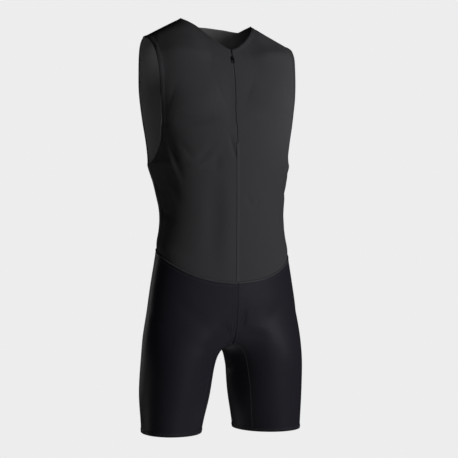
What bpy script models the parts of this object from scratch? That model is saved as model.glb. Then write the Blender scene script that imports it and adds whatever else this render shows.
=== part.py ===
"""Sleeveless athletics bodysuit: cut panels of stretch cloth, a centre-front zip and its pull.

Metres, +Z up. The suit keeps the hollow form it has when worn: its front faces -Y and the
wearer's left is +X. Z = 0 is the level of the back neckline at its centre, within a millimetre.
"""
import math
from bisect import bisect_right
from collections import namedtuple

import bmesh
import bpy
from mathutils import Vector

# ---------------------------------------------------------------- driving sizes
CLOTH = 0.0015             # thickness of the knit
SEAM_GAP = 0.0003          # between two panels that are sewn together

NECK_HALF_WIDTH = 0.081    # centre to the high shoulder point
NECK_POINT_Z = -0.068      # the point of the front neckline
NECK_FRONT_CURVE = 1.5     # 1 is a straight V, more is rounder
NAPE_RISE = 0.045          # how far up the back's own curve points, above the neckline

SHOULDER_HALF_WIDTH = 0.167
HIGH_POINT_Z = 0.0045      # the high shoulder point, where the neckline meets the shoulder seam
SHOULDER_TIP_Z = -0.0375
RIDGE_Y_NECK = 0.020       # the shoulder seam runs along the ridge of the shoulder
RIDGE_Y_TIP = 0.015
YOKE_Z = -0.150            # above this level the chest rounds over to the shoulder ridge
YOKE_ROUND_NECK = 1.7      # 2 is an ellipse, less is flatter
YOKE_ROUND_TIP = 2.3
YOKE_SPREAD = 2.2          # how late the yoke widens to the tip of the shoulder
YOKE_TIP_START = 0.6       # where across it starts to change from the neck's shape to the tip's
YOKE_TIP_SPAN = 0.6        # and over how much of the shoulder's width

ARMPIT_Z = -0.307

ZIP_END_Z = -0.264
SLIDER_Z = -0.087
ZIP_SLOT = 0.0011          # opening between the two front edges beside the teeth
NECK_SLOT = 0.0042         # the same opening at the top, above the slider
TAPE_WIDTH = 0.011
TAPE_THICK = 0.0009
TAPE_BELOW = 0.006         # how far the tapes run on below the zip's end
TAPE_SHORT = 0.004         # how far they stop short of the neckline
LAP_GAP = 0.0008           # between a tape and the panel it is sewn to
CLEAR = 0.0004             # round the pull's barrel

SLIDER_LENGTH = 0.0085
SLIDER_HALF_WIDTH = 0.0027
SLIDER_THICK = 0.0014
SLIDER_LIFT = 0.0006       # over the outer face of the cloth
CHAMFER = 0.0004
CHEEK_THICK = 0.0008
CHEEK_HEIGHT = 0.0020
BARREL_RADIUS = 0.0008
PULL_LENGTH = 0.0130
PULL_THICK = 0.0008

# ---------------------------------------------------------------- mesh density
NECK_COLUMNS = 6           # from the centre front to the high shoulder point
SHOULDER_COLUMNS = 6       # from there to the armhole or side seam
TRUNK_ROWS = 11            # waist seam to armpit
YOKE_ROWS = 15             # armpit to neckline and shoulder seam
TOP_ROWS = TRUNK_ROWS + YOKE_ROWS
ARMPIT_CROWDING = 1.3      # over 1, the rows lie closer together just above the armpit
LEG_COLUMNS = 22           # centre front round the outside to the centre back
INSIDE_COLUMNS = 8         # round the inside of the leg, below the crotch
HIP_ROWS = 8               # waist seam to crotch
THIGH_ROWS = 9             # crotch to hem
TAPE_ROWS = 16
TAPE_COLUMNS = 2
BARREL_STEPS = 10          # round the pull's barrel
SECTION_STEPS = 40         # fine steps of a section, before it is cut into columns
PATH_STEPS = 40            # and of a column, before it is cut into rows

# ---------------------------------------------------------------- section tables
# One horizontal section of the worn form: half width at the side seam, the Y of the side seam,
# of the centre front and of the centre back, and how square its front and back are (2 = ellipse).
Trunk = namedtuple("Trunk", "z side_x side_y front_y back_y front_square back_square")
TRUNK = [
    Trunk(-0.150, 0.1815, 0.006, -0.0845, 0.102, 3.0, 2.55),
    Trunk(-0.210, 0.1710, 0.004, -0.0905, 0.106, 2.7, 2.55),
    Trunk(-0.265, 0.1600, 0.001, -0.0970, 0.103, 2.4, 2.4),
    Trunk(-0.307, 0.1600, 0.000, -0.0990, 0.098, 2.2, 2.3),
    Trunk(-0.335, 0.1522, -0.004, -0.0990, 0.094, 2.12, 2.15),
    Trunk(-0.370, 0.1453, -0.010, -0.0990, 0.089, 2.08, 2.05),
    Trunk(-0.415, 0.1392, -0.018, -0.0985, 0.086, 2.05, 2.0),
    Trunk(-0.480, 0.1452, -0.020, -0.0975, 0.090, 2.05, 1.98),
    Trunk(-0.555, 0.1583, -0.021, -0.0955, 0.099, 2.0, 1.9),
    Trunk(-0.600, 0.1650, -0.021, -0.0940, 0.103, 2.15, 1.9),
    Trunk(-0.640, 0.1705, -0.020, -0.0925, 0.098, 2.2, 1.92),
    Trunk(-0.665, 0.1738, -0.019, -0.0915, 0.087, 2.25, 1.98),
    Trunk(-0.690, 0.1760, -0.018, -0.0900, 0.073, 2.3, 2.0),
    Trunk(-0.740, 0.1780, -0.014, -0.0860, 0.060, 2.3, 2.0),
]

# How far the centre front sinks between the legs, over a narrow valley.
Valley = namedtuple("Valley", "z depth")
VALLEY = [
    Valley(-0.600, 0.0000),
    Valley(-0.640, 0.0030),
    Valley(-0.665, 0.0110),
    Valley(-0.682, 0.0215),
    Valley(-0.705, 0.0320),
]
VALLEY_WIDTH = 0.034

# The edge of the armhole, by height.
Armhole = namedtuple("Armhole", "z front_x front_y back_x back_y")
ARMHOLE = [
    Armhole(-0.307, 0.1590, 0.000, 0.1590, 0.000),
    Armhole(-0.303, 0.1570, -0.010, 0.1580, 0.009),
    Armhole(-0.292, 0.1530, -0.021, 0.1555, 0.020),
    Armhole(-0.258, 0.1490, -0.037, 0.1530, 0.039),
    Armhole(-0.210, 0.1510, -0.0490, 0.1555, 0.056),
    Armhole(-0.150, 0.1545, -0.0550, 0.1590, 0.070),
]

# The back neckline, from the centre (0) to the high shoulder point (1).
BackNeck = namedtuple("BackNeck", "across z")
BACK_NECK = [
    BackNeck(0.0, 0.001),
    BackNeck(0.5, -0.001),
    BackNeck(0.8, -0.005),
    BackNeck(1.0, HIGH_POINT_Z),
]

# How the worn top sits unevenly on its shoulders: a rise, by the place across.
Settle = namedtuple("Settle", "x rise")
SETTLE = [
    Settle(-0.167, -0.0030),
    Settle(-0.081, 0.0020),
    Settle(0.000, 0.0000),
    Settle(0.081, -0.0028),
    Settle(0.105, -0.0062),
    Settle(0.135, -0.0060),
    Settle(0.167, -0.0032),
]

# The waist seam, by the share of the way round from the centre front (0) to the centre back (1).
WaistSeam = namedtuple("WaistSeam", "around z")
WAIST_SEAM = [
    WaistSeam(0.000, -0.5550),
    WaistSeam(0.125, -0.5510),
    WaistSeam(0.250, -0.5385),
    WaistSeam(0.375, -0.5170),
    WaistSeam(0.500, -0.4940),
    WaistSeam(0.650, -0.4820),
    WaistSeam(0.800, -0.4775),
    WaistSeam(1.000, -0.4760),
]

# A leg's section: its centre, and an ellipse whose longer radius points forward and outward.
Leg = namedtuple("Leg", "z centre_x centre_y long_radius short_radius")
LEG = [
    Leg(-0.640, 0.0940, -0.014, 0.0890, 0.0820),
    Leg(-0.710, 0.0975, -0.011, 0.0865, 0.0775),
    Leg(-0.785, 0.1034, -0.004, 0.0828, 0.0732),
    Leg(-0.853, 0.1087, -0.001, 0.0766, 0.0615),
    Leg(-0.876, 0.1100, 0.000, 0.0748, 0.0590),
]
LEG_TURN = math.radians(45)          # of the longer radius, from +X towards -Y
INSEAM_ANGLE = math.radians(-44)     # of the inside-leg seam, from the front towards the inside
BACK_COLUMN_ANGLE = math.radians(215)

# The hem of each leg: its height at the inside, and how much higher it lies at the outside.
Hem = namedtuple("Hem", "inside_z outside_rise")
HEM = {-1: Hem(-0.8725, 0.006), 1: Hem(-0.8755, 0.001)}

# The crotch in the plane X = 0, from the front seam to the back seam.
Crotch = namedtuple("Crotch", "along y z")
CROTCH = [
    Crotch(0.0, -0.0746, -0.6745),
    Crotch(0.3, -0.0380, -0.6765),
    Crotch(0.6, 0.0080, -0.6755),
    Crotch(0.8, 0.0480, -0.6715),
    Crotch(1.0, 0.0870, -0.6630),
]

# Folds: a soft trough (depth > 0) or ridge (depth < 0) along a line from one point to another.
Fold = namedtuple("Fold", "start end width depth")
FOLDS = [
    Fold((-0.134, -0.060, -0.274), (-0.121, -0.083, -0.340), 0.013, 0.0026),
    Fold((-0.143, -0.050, -0.312), (-0.118, -0.085, -0.392), 0.013, 0.0030),
    Fold((-0.150, -0.035, -0.345), (-0.134, -0.060, -0.420), 0.012, -0.0016),
    Fold((-0.088, -0.092, -0.285), (-0.062, -0.095, -0.310), 0.014, 0.0020),
    Fold((-0.062, -0.095, -0.310), (-0.020, -0.098, -0.272), 0.014, 0.0018),
    Fold((0.055, -0.095, -0.360), (0.095, -0.088, -0.395), 0.017, 0.0022),
    Fold((0.110, -0.080, -0.300), (0.135, -0.055, -0.345), 0.014, 0.0020),
    Fold((-0.030, -0.098, -0.400), (-0.045, -0.096, -0.440), 0.016, 0.0016),
    Fold((0.040, 0.090, -0.400), (0.110, 0.060, -0.440), 0.015, 0.0026),
    Fold((-0.110, 0.062, -0.385), (-0.035, 0.090, -0.425), 0.015, 0.0028),
    Fold((-0.120, 0.060, -0.300), (-0.085, 0.090, -0.345), 0.015, 0.0022),
    Fold((0.090, 0.088, -0.290), (0.125, 0.058, -0.330), 0.014, 0.0024),
    Fold((-0.100, -0.090, -0.690), (-0.030, -0.072, -0.676), 0.012, -0.0020),
    Fold((0.100, -0.090, -0.696), (0.030, -0.072, -0.680), 0.012, -0.0020),
]

# The top swells a little just above the waist seam at each side.
SWELL = 0.0035
SWELL_ABOVE = 0.020
SWELL_HEIGHT = 0.011
SWELL_ROUND = 0.16         # how far round from the side seam, as a share of half the girth

CLOTH_BLACK = (0.020, 0.020, 0.022)
SHORTS_BLACK = (0.014, 0.013, 0.017)
METAL_BLACK = (0.025, 0.025, 0.027)
TOP_ROUGHNESS = 0.85
SHORTS_ROUGHNESS = 0.5
TAPE_ROUGHNESS = 0.9
METAL_ROUGHNESS = 0.4
METAL_SHARE = 0.6


# ---------------------------------------------------------------- tables and curves
def read_table(rows, key, at):
    """The row of a table at a key value, on a smooth curve that never overshoots its rows."""
    keys = [getattr(row, key) for row in rows]
    if keys[0] > keys[-1]:
        rows = rows[::-1]
        keys = keys[::-1]
    at = min(max(at, keys[0]), keys[-1])
    low = min(max(bisect_right(keys, at) - 1, 0), len(rows) - 2)
    step = keys[low + 1] - keys[low]
    share = (at - keys[low]) / step
    values = [
        hermite(rows, keys, column, low, step, share)
        for column in range(len(rows[0]))
    ]
    return type(rows[0])(*values)


def hermite(rows, keys, column, low, step, share):
    """One column of a table between row low and the next, with monotone tangents."""
    before = rows[low][column]
    after = rows[low + 1][column]
    start = tangent(rows, keys, column, low) * step
    end = tangent(rows, keys, column, low + 1) * step
    square = share * share
    cube = square * share
    return (
        before * (2 * cube - 3 * square + 1)
        + start * (cube - 2 * square + share)
        + after * (3 * square - 2 * cube)
        + end * (cube - square)
    )


def tangent(rows, keys, column, row):
    """The slope of a column at a row: none at a turning point, else the harmonic mean."""
    def slope(low):
        return (rows[low + 1][column] - rows[low][column]) / (keys[low + 1] - keys[low])

    if row == 0:
        return slope(0)
    if row == len(rows) - 1:
        return slope(row - 1)
    below = slope(row - 1)
    above = slope(row)
    if below * above <= 0:
        return 0.0
    return 2 * below * above / (below + above)


def smooth(share):
    """A smooth step from 0 to 1."""
    share = min(max(share, 0.0), 1.0)
    return share * share * (3 - 2 * share)


def mix(first, second, share):
    return first + (second - first) * share


def power(base, exponent):
    return max(base, 0.0) ** exponent


def cut_lengths(path):
    """The running length at each point of a path."""
    lengths = [0.0]
    for before, after in zip(path, path[1:]):
        lengths.append(lengths[-1] + (after - before).length)
    return lengths


def point_along(path, lengths, distance):
    """The point of a path at a distance from its start."""
    distance = min(max(distance, 0.0), lengths[-1])
    low = min(max(bisect_right(lengths, distance) - 1, 0), len(path) - 2)
    span = lengths[low + 1] - lengths[low]
    share = (distance - lengths[low]) / span if span else 0.0
    return path[low].lerp(path[low + 1], share)


def in_steps(path, count, crowding=1.0):
    """The path again, as count steps: equal ones, or shorter at the start if crowding is over 1."""
    lengths = cut_lengths(path)
    shares = [(step / count) ** crowding for step in range(count + 1)]
    return [point_along(path, lengths, lengths[-1] * share) for share in shares]


# ---------------------------------------------------------------- the worn form, trunk
EDGE_WINDOW = (-0.06, -0.03, 0.0, 0.03, 0.06)    # the inner columns follow a softened armhole
EDGE_WINDOW_BELOW = 0.12   # how far below the armpit they still do
EDGE_RETURN = 4            # how late across a column returns to the real edge
MARGIN_ROW = 0.018         # an unused row past a seam, so the wall's direction carries on there
RIDGE_MARGIN = 0.002


def section(z, front):
    """Half a horizontal section as a list of points from the centre to the side or armhole edge."""
    level = max(min(z, YOKE_Z), TRUNK[-1].z)
    trunk = read_table(TRUNK, "z", level)
    depth = (trunk.front_y if front else trunk.back_y) - trunk.side_y
    square = trunk.front_square if front else trunk.back_square
    half_width = trunk.side_x
    last_turn = math.pi / 2
    if level > ARMPIT_Z:
        edge = read_table(ARMHOLE, "z", level)
        edge_x = edge.front_x if front else edge.back_x
        edge_y = edge.front_y if front else edge.back_y
        reach = power((edge_y - trunk.side_y) / depth, square)
        half_width = edge_x / (1 - reach) ** (1 / square)
        last_turn = math.asin((edge_x / half_width) ** (square / 2))
    points = []
    for step in range(SECTION_STEPS + 1):
        turn = last_turn * step / SECTION_STEPS
        x = half_width * math.sin(turn) ** (2 / square)
        y = trunk.side_y + depth * power(math.cos(turn), 2 / square)
        points.append(Vector((x, y, z)))
    return points


def edge_arc(z, front):
    return cut_lengths(section(z, front))[-1]


def trunk_point(across, z, front):
    """The point on the trunk at a share of the way from the centre to the side, at a height."""
    points = section(z, front)
    lengths = cut_lengths(points)
    real = lengths[-1]
    softened = real
    if z > ARMPIT_Z - EDGE_WINDOW_BELOW:
        softened = sum(edge_arc(z + shift, front) for shift in EDGE_WINDOW) / len(EDGE_WINDOW)
    distance = across * softened + (real - softened) * across ** EDGE_RETURN
    return point_along(points, lengths, distance)


def shoulder_line(x):
    """The height of the shoulder ridge over a place across."""
    beyond = max(x - NECK_HALF_WIDTH, 0.0) / (SHOULDER_HALF_WIDTH - NECK_HALF_WIDTH)
    return mix(HIGH_POINT_Z, SHOULDER_TIP_Z, beyond)


def yoke_point(across, rise, front):
    """The trunk above YOKE_Z, where it rounds over to the shoulder ridge. Rise goes from 0 to 1."""
    base = trunk_point(across, YOKE_Z, front)
    edge_x = section(YOKE_Z, front)[-1].x
    top_x = base.x * SHOULDER_HALF_WIDTH / edge_x
    beyond = top_x - NECK_HALF_WIDTH * YOKE_TIP_START
    toward_tip = smooth(beyond / (SHOULDER_HALF_WIDTH * YOKE_TIP_SPAN))
    roundness = mix(YOKE_ROUND_NECK, YOKE_ROUND_TIP, toward_tip)
    ridge_y = mix(RIDGE_Y_NECK, RIDGE_Y_TIP, toward_tip)
    ridge_z = shoulder_line(top_x)
    if not front:
        ridge_z += NAPE_RISE * max(1 - (top_x / NECK_HALF_WIDTH) ** 2, 0.0)
    turn = rise * math.pi / 2
    lift = math.sin(turn) ** (2 / roundness)
    keep = power(math.cos(turn), 2 / roundness)
    x = mix(base.x, top_x, lift ** YOKE_SPREAD)
    y = ridge_y + (base.y - ridge_y) * keep
    return Vector((x, y, mix(YOKE_Z, ridge_z, lift)))


def neckline(x, front):
    """The height of the neckline at a place across."""
    share = min(x / NECK_HALF_WIDTH, 1.0)
    if front:
        return mix(NECK_POINT_Z, HIGH_POINT_Z, share ** NECK_FRONT_CURVE)
    return read_table(BACK_NECK, "across", share).z


def waist_seam(around):
    return read_table(WAIST_SEAM, "around", around).z


def neck_share(front):
    """The share of the way across at which the high shoulder point lies."""
    points = section(YOKE_Z, front)
    lengths = cut_lengths(points)
    target = NECK_HALF_WIDTH * points[-1].x / SHOULDER_HALF_WIDTH
    high = next(index for index, point in enumerate(points) if point.x >= target)
    share = (target - points[high - 1].x) / (points[high].x - points[high - 1].x)
    return mix(lengths[high - 1], lengths[high], share) / lengths[-1]


def top_columns(front):
    """The shares of the way across at which a top panel has its columns of points."""
    neck = neck_share(front)
    inner = [neck * step / NECK_COLUMNS for step in range(NECK_COLUMNS)]
    outer = [mix(neck, 1.0, step / SHOULDER_COLUMNS) for step in range(SHOULDER_COLUMNS + 1)]
    return inner + outer


def top_path(across, front):
    """One column of the top, from the waist seam up to the neckline or shoulder seam."""
    around = across / 2 if front else 1 - across / 2
    low = waist_seam(around) + SEAM_GAP / 2
    trunk = straight_up(across, low, ARMPIT_Z, front)
    yoke = straight_up(across, ARMPIT_Z, YOKE_Z, front)
    for step in range(1, PATH_STEPS + 1):
        point = yoke_point(across, step / PATH_STEPS, front)
        stop = neckline(point.x, front)
        if point.x < NECK_HALF_WIDTH - 1e-5 and point.z > stop:
            previous = yoke[-1]
            share = (stop - previous.z) / (point.z - previous.z)
            yoke.append(previous.lerp(point, share))
            break
        yoke.append(point)
    return in_steps(trunk, TRUNK_ROWS) + in_steps(yoke, YOKE_ROWS, ARMPIT_CROWDING)[1:]


def straight_up(across, low, high, front):
    """A finely stepped column of the trunk between two heights."""
    heights = [mix(low, high, step / PATH_STEPS) for step in range(PATH_STEPS + 1)]
    return [trunk_point(across, z, front) for z in heights]


# ---------------------------------------------------------------- the worn form, legs
def leg_point(angle, z):
    """A point round a leg. Angle 0 faces the front, a quarter turn faces the outside."""
    leg = read_table(LEG, "z", z)
    direction = Vector((math.sin(angle), -math.cos(angle)))
    long_axis = Vector((math.cos(LEG_TURN), -math.sin(LEG_TURN)))
    short_axis = Vector((math.sin(LEG_TURN), math.cos(LEG_TURN)))
    along = direction.dot(long_axis) / leg.long_radius
    aside = direction.dot(short_axis) / leg.short_radius
    radius = 1 / math.hypot(along, aside)
    centre = Vector((leg.centre_x, leg.centre_y))
    place = centre + direction * radius
    return Vector((place.x, place.y, z))


def round_point(around, z):
    """A point on the trunk by the share of the way round from centre front to centre back."""
    if around > 0.5:
        return trunk_point(2 - around * 2, z, False)
    point = trunk_point(around * 2, z, True)
    valley = read_table(VALLEY, "z", z).depth
    point.y += valley * math.exp(-(point.x / VALLEY_WIDTH) ** 2)
    return point


SIDE_BLEND_TOP = -0.615
SIDE_BLEND_END = -0.740
CENTRE_BLEND_END = -0.704
CENTRE_PULL = 0.16        # how far round from a centre seam its own blend reaches


def outside_point(around, z):
    """The shorts from the centre front (0) round the outside to the centre back (1)."""
    from_front = 1 - smooth(around / CENTRE_PULL)
    from_back = 1 - smooth((1 - around) / CENTRE_PULL)
    near_centre = max(from_front, from_back)
    blend_top = mix(SIDE_BLEND_TOP, CROTCH[0].z, from_front)
    blend_top = mix(blend_top, CROTCH[-1].z, from_back)
    blend_end = mix(SIDE_BLEND_END, CENTRE_BLEND_END, near_centre)
    share = min(max((blend_top - z) / (blend_top - blend_end), 0.0), 1.0)
    arch = math.sqrt(1 - (1 - share) ** 2)
    blend = mix(smooth(share), arch, near_centre)
    angle = mix(INSEAM_ANGLE, BACK_COLUMN_ANGLE, around)
    return round_point(around, z).lerp(leg_point(angle, z), blend)


def hem_z(angle, side):
    """The height of a leg's hem at an angle round the leg."""
    hem = HEM[side]
    return hem.inside_z + hem.outside_rise * (1 + math.sin(angle)) / 2


def outside_path(around, side):
    """One column of the shorts from the waist seam to the hem, as two even stretches."""
    crotch_z = mix(CROTCH[0].z, CROTCH[-1].z, smooth(around))
    top_z = waist_seam(around) - SEAM_GAP / 2
    hem = hem_z(mix(INSEAM_ANGLE, BACK_COLUMN_ANGLE, around), side)
    shares = [step / PATH_STEPS for step in range(PATH_STEPS + 1)]
    hip = [outside_point(around, mix(top_z, crotch_z, share)) for share in shares]
    thigh = [outside_point(around, mix(crotch_z, hem, share ** 2)) for share in shares]
    return in_steps(hip, HIP_ROWS) + in_steps(thigh, THIGH_ROWS)[1:]


def inside_path(along, side):
    """One column of the inside of the leg, from the crotch to the hem. Along goes back to front."""
    start = read_table(CROTCH, "along", 1 - along)
    angle = mix(BACK_COLUMN_ANGLE, INSEAM_ANGLE + 2 * math.pi, along)
    path = []
    for step in range(PATH_STEPS + 1):
        z = mix(start.z, hem_z(angle, side), (step / PATH_STEPS) ** 2)
        share = min((start.z - z) / (start.z - CENTRE_BLEND_END), 1.0)
        arch = math.sqrt(1 - (1 - share) ** 2)
        path.append(Vector((0.0, start.y, z)).lerp(leg_point(angle, z), arch))
    return in_steps(path, THIGH_ROWS)


# ---------------------------------------------------------------- folds
FOLD_END = 0.35            # how much of a fold's depth is left at its two ends


def fold_depth(point):
    """How far the cloth sinks inwards at a point."""
    depth = 0.0
    for fold in FOLDS:
        start = Vector(fold.start)
        line = Vector(fold.end) - start
        share = min(max((point - start).dot(line) / line.length_squared, 0.0), 1.0)
        distance = (point - start - line * share).length
        ends = mix(FOLD_END, 1.0, math.sin(math.pi * share))
        depth += fold.depth * ends * math.exp(-(distance / fold.width) ** 2)
    return depth


def swell(point, around):
    """How far the top swells outwards just above the waist seam, near the side seams."""
    above = point.z - waist_seam(around)
    if above < 0:
        return 0.0
    near_side = math.exp(-((around - 0.5) / SWELL_ROUND) ** 2)
    return SWELL * near_side * math.exp(-((above - SWELL_ABOVE) / SWELL_HEIGHT) ** 2)


RELAX_CENTRE = Vector((0.0, 0.0, -0.685))
RELAX_REACH = 0.100
RELAX_ROUNDS = 5
RELAX_PULL = 0.6
SIDEWAYS_WEIGHT = 2.0      # of a neighbour off the plane X = 0, which stands for two


# ---------------------------------------------------------------- cloth walls
class Sheet:
    """Points of a cloth's outer face, joined by quads, with a direction outwards for each."""

    def __init__(self):
        self.points = []
        self.quads = []
        self.flat = []

    def add(self, point, flat=""):
        """Add a point. Flat names the axes along which its outward direction has no part."""
        self.points.append(point.copy())
        self.flat.append(flat)
        return len(self.points) - 1

    def directions(self):
        """The outward direction at each point."""
        totals = [Vector() for point in self.points]
        for quad in self.quads:
            corners = [self.points[index] for index in quad]
            normal = (corners[2] - corners[0]).cross(corners[3] - corners[1])
            for index in quad:
                totals[index] += normal
        for total, flat in zip(totals, self.flat):
            for axis in flat:
                setattr(total, axis, 0.0)
            total.normalize()
        return totals


def relax(sheet, fixed):
    """Even out a sheet round the crotch. Points of the plane X = 0 stay in it."""
    around = [set() for point in sheet.points]
    for quad in sheet.quads:
        for start, end in zip(quad, quad[1:] + quad[:1]):
            around[start].add(end)
            around[end].add(start)
    for turn in range(RELAX_ROUNDS):
        moved = []
        for index, point in enumerate(sheet.points):
            in_plane = sheet.flat[index] == "x"
            total = Vector()
            weight = 0.0
            for other in around[index]:
                sideways = in_plane and sheet.flat[other] != "x"
                share = SIDEWAYS_WEIGHT if sideways else 1.0
                total += sheet.points[other] * share
                weight += share
            target = total / weight
            if in_plane:
                target.x = 0.0
            reach = (point - RELAX_CENTRE).length / RELAX_REACH
            pull = 0.0 if index in fixed else RELAX_PULL * math.exp(-reach ** 4)
            moved.append(point.lerp(target, pull))
        sheet.points = moved


def grid_quads(columns, flip):
    """Quads over a grid of point numbers, a list of columns."""
    quads = []
    for left, right in zip(columns, columns[1:]):
        for row in range(len(left) - 1):
            quad = (left[row], right[row], right[row + 1], left[row + 1])
            quads.append(quad[::-1] if flip else quad)
    return quads


def boundary_edges(quads):
    """The directed edges that only one quad has."""
    edges = set()
    for quad in quads:
        for start, end in zip(quad, quad[1:] + quad[:1]):
            edges.add((start, end))
    return [edge for edge in edges if (edge[1], edge[0]) not in edges]


def halves(quad, points):
    """A quad as two triangles, split along its shorter diagonal, so both faces of a wall agree."""
    first, second, third, fourth = quad
    if (points[first] - points[third]).length < (points[second] - points[fourth]).length:
        return (first, second, third), (first, third, fourth)
    return (first, second, fourth), (second, third, fourth)


def add_object(name, points, faces, material):
    mesh = bpy.data.meshes.new(name)
    mesh.from_pydata([tuple(point) for point in points], [], faces)
    mesh.materials.append(material)
    mesh.update()
    item = bpy.data.objects.new(name, mesh)
    bpy.context.scene.collection.objects.link(item)
    return item


def add_wall(name, sheet, keep, thickness, material):
    """A closed wall from a sheet: its outer face, the same face moved inwards, and its rims."""
    directions = sheet.directions()
    quads = [quad for quad in sheet.quads if all(index in keep for index in quad)]
    order = sorted({index for quad in quads for index in quad})
    number = {index: place for place, index in enumerate(order)}
    outer = [sheet.points[index] for index in order]
    inner = [sheet.points[index] - directions[index] * thickness for index in order]
    squares = [tuple(number[index] for index in quad) for quad in quads]
    faces = [face for square in squares for face in halves(square, outer)]
    count = len(order)
    inside = [tuple(index + count for index in face[::-1]) for face in faces]
    rims = [(end, start, start + count, end + count) for start, end in boundary_edges(squares)]
    return add_object(name, outer + inner, faces + inside + rims, material)


def displaced(sheet, arounds):
    """Move a sheet's points by its folds and by the swell above the waist seam."""
    directions = sheet.directions()
    for index, point in enumerate(sheet.points):
        out = swell(point, arounds[index]) - fold_depth(point)
        sheet.points[index] = point + directions[index] * out


def slot_half(z):
    """Half the opening between the two front edges at a height."""
    if z < ZIP_END_Z:
        return SEAM_GAP / 2
    if z < SLIDER_Z:
        return ZIP_SLOT / 2
    rise = (z - SLIDER_Z) / (NECK_POINT_Z - SLIDER_Z)
    return mix(ZIP_SLOT, NECK_SLOT, smooth(rise)) / 2


def settled(x, y, z):
    """A point of the top, with the uneven sit of the shoulders."""
    lift = smooth((z - YOKE_Z) / (SHOULDER_TIP_Z - YOKE_Z))
    return Vector((x, y, z + read_table(SETTLE, "x", x).rise * lift))


def top_sheet(front, side):
    """Half of the top as a sheet: side is 1 for the wearer's left and -1 for the right."""
    sheet = Sheet()
    arounds = []
    columns = []
    keep = set()
    for across in top_columns(front):
        around = across / 2 if front else 1 - across / 2
        path = top_path(across, front)
        below = trunk_point(across, path[0].z - MARGIN_ROW, front)
        column = []
        for row, point in enumerate([below] + path):
            at_side = across == 1 and row <= TRUNK_ROWS + 1
            at_ridge = row == TOP_ROWS + 1 and point.x > NECK_HALF_WIDTH - RIDGE_MARGIN
            flat = "x" if across == 0 else ""
            flat += "y" if at_side or at_ridge else ""
            column.append(sheet.add(settled(point.x * side, point.y, point.z), flat))
            arounds.append(around)
        keep.update(column[1:])
        columns.append(column)
    sheet.quads = grid_quads(columns, (side < 0) == front)
    displaced(sheet, arounds)
    return sheet, columns, keep


def open_side_seam(sheet, columns, front):
    """Pull a top panel's side edge and shoulder edge back from the seams."""
    pull = -SEAM_GAP / 2 if front else SEAM_GAP / 2
    for index in columns[-1]:
        sheet.points[index].y += pull
    for column in columns[NECK_COLUMNS:-1]:
        sheet.points[column[-1]].y += pull


def build_front(name, side, material):
    sheet, columns, keep = top_sheet(True, side)
    open_side_seam(sheet, columns, True)
    for index in columns[0]:
        sheet.points[index].x = side * slot_half(sheet.points[index].z)
    return add_wall(name, sheet, keep, CLOTH, material)


def build_back(name, material):
    """The back is one piece: its two halves share the centre column."""
    left, left_columns, left_keep = top_sheet(False, 1)
    right, right_columns, right_keep = top_sheet(False, -1)
    sheet = Sheet()
    number = {}
    for half, source in (("left", left), ("right", right)):
        for index, point in enumerate(source.points):
            if half == "right" and index in right_columns[0]:
                number[half, index] = number["left", left_columns[0][right_columns[0].index(index)]]
                continue
            number[half, index] = sheet.add(point, source.flat[index])
    for half, source in (("left", left), ("right", right)):
        for quad in source.quads:
            sheet.quads.append(tuple(number[half, index] for index in quad))
    for half, columns in (("left", left_columns), ("right", right_columns)):
        renumbered = [[number[half, index] for index in column] for column in columns]
        open_side_seam(sheet, renumbered, False)
    keep = {number["left", index] for index in left_keep}
    keep |= {number["right", index] for index in right_keep}
    return add_wall(name, sheet, keep, CLOTH, material)


def build_leg(name, side, material):
    """Half of the shorts: a tube below the crotch, open from centre front to back above it."""
    sheet = Sheet()
    arounds = []
    keep = set()
    columns = []
    for step in range(LEG_COLUMNS + 1):
        around = step / LEG_COLUMNS
        path = outside_path(around, side)
        above = round_point(around, path[0].z + MARGIN_ROW)
        column = []
        for row, point in enumerate([above] + path):
            centre_seam = step in (0, LEG_COLUMNS) and row <= HIP_ROWS + 1
            place = Vector((point.x * side, point.y, point.z))
            column.append(sheet.add(place, "x" if centre_seam else ""))
            arounds.append(around)
        keep.update(column[1:])
        columns.append(column[::-1])
    sheet.quads = grid_quads(columns, side > 0)

    inside = [columns[-1][:THIGH_ROWS + 1]]
    for step in range(1, INSIDE_COLUMNS):
        path = inside_path(step / INSIDE_COLUMNS, side)
        column = []
        for row, point in enumerate(path):
            place = Vector((point.x * side, point.y, point.z))
            column.append(sheet.add(place, "x" if row == 0 else ""))
            arounds.append(1.0)
        keep.update(column)
        inside.append(column[::-1])
    inside.append(columns[0][:THIGH_ROWS + 1])
    sheet.quads += grid_quads(inside, side > 0)

    fixed = {index for column in columns for index in (column[0], column[-1], column[-2])}
    relax(sheet, fixed)
    displaced(sheet, arounds)
    for flat, point in zip(sheet.flat, sheet.points):
        if flat == "x":
            point.x = side * SEAM_GAP / 2
    return add_wall(name, sheet, keep, CLOTH, material)


# ---------------------------------------------------------------- zip
def build_tape(name, side, material):
    """One woven tape, behind the front edge from below the zip's end to the neckline."""
    bottom = ZIP_END_Z - TAPE_BELOW
    top = NECK_POINT_Z - TAPE_SHORT
    sheet = Sheet()
    columns = []
    for step in range(TAPE_COLUMNS + 1):
        column = []
        for row in range(TAPE_ROWS + 1):
            z = mix(bottom, top, row / TAPE_ROWS)
            inner = slot_half(z) if z > SLIDER_Z else SEAM_GAP / 2
            x = inner + TAPE_WIDTH * step / TAPE_COLUMNS
            y = trunk_or_yoke_y(x / edge_arc(z, True), z) + CLOTH + LAP_GAP
            column.append(sheet.add(Vector((x * side, y, z)), "x"))
        columns.append(column)
    sheet.quads = grid_quads(columns, side < 0)
    return add_wall(name, sheet, set(range(len(sheet.points))), TAPE_THICK, material)


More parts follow.
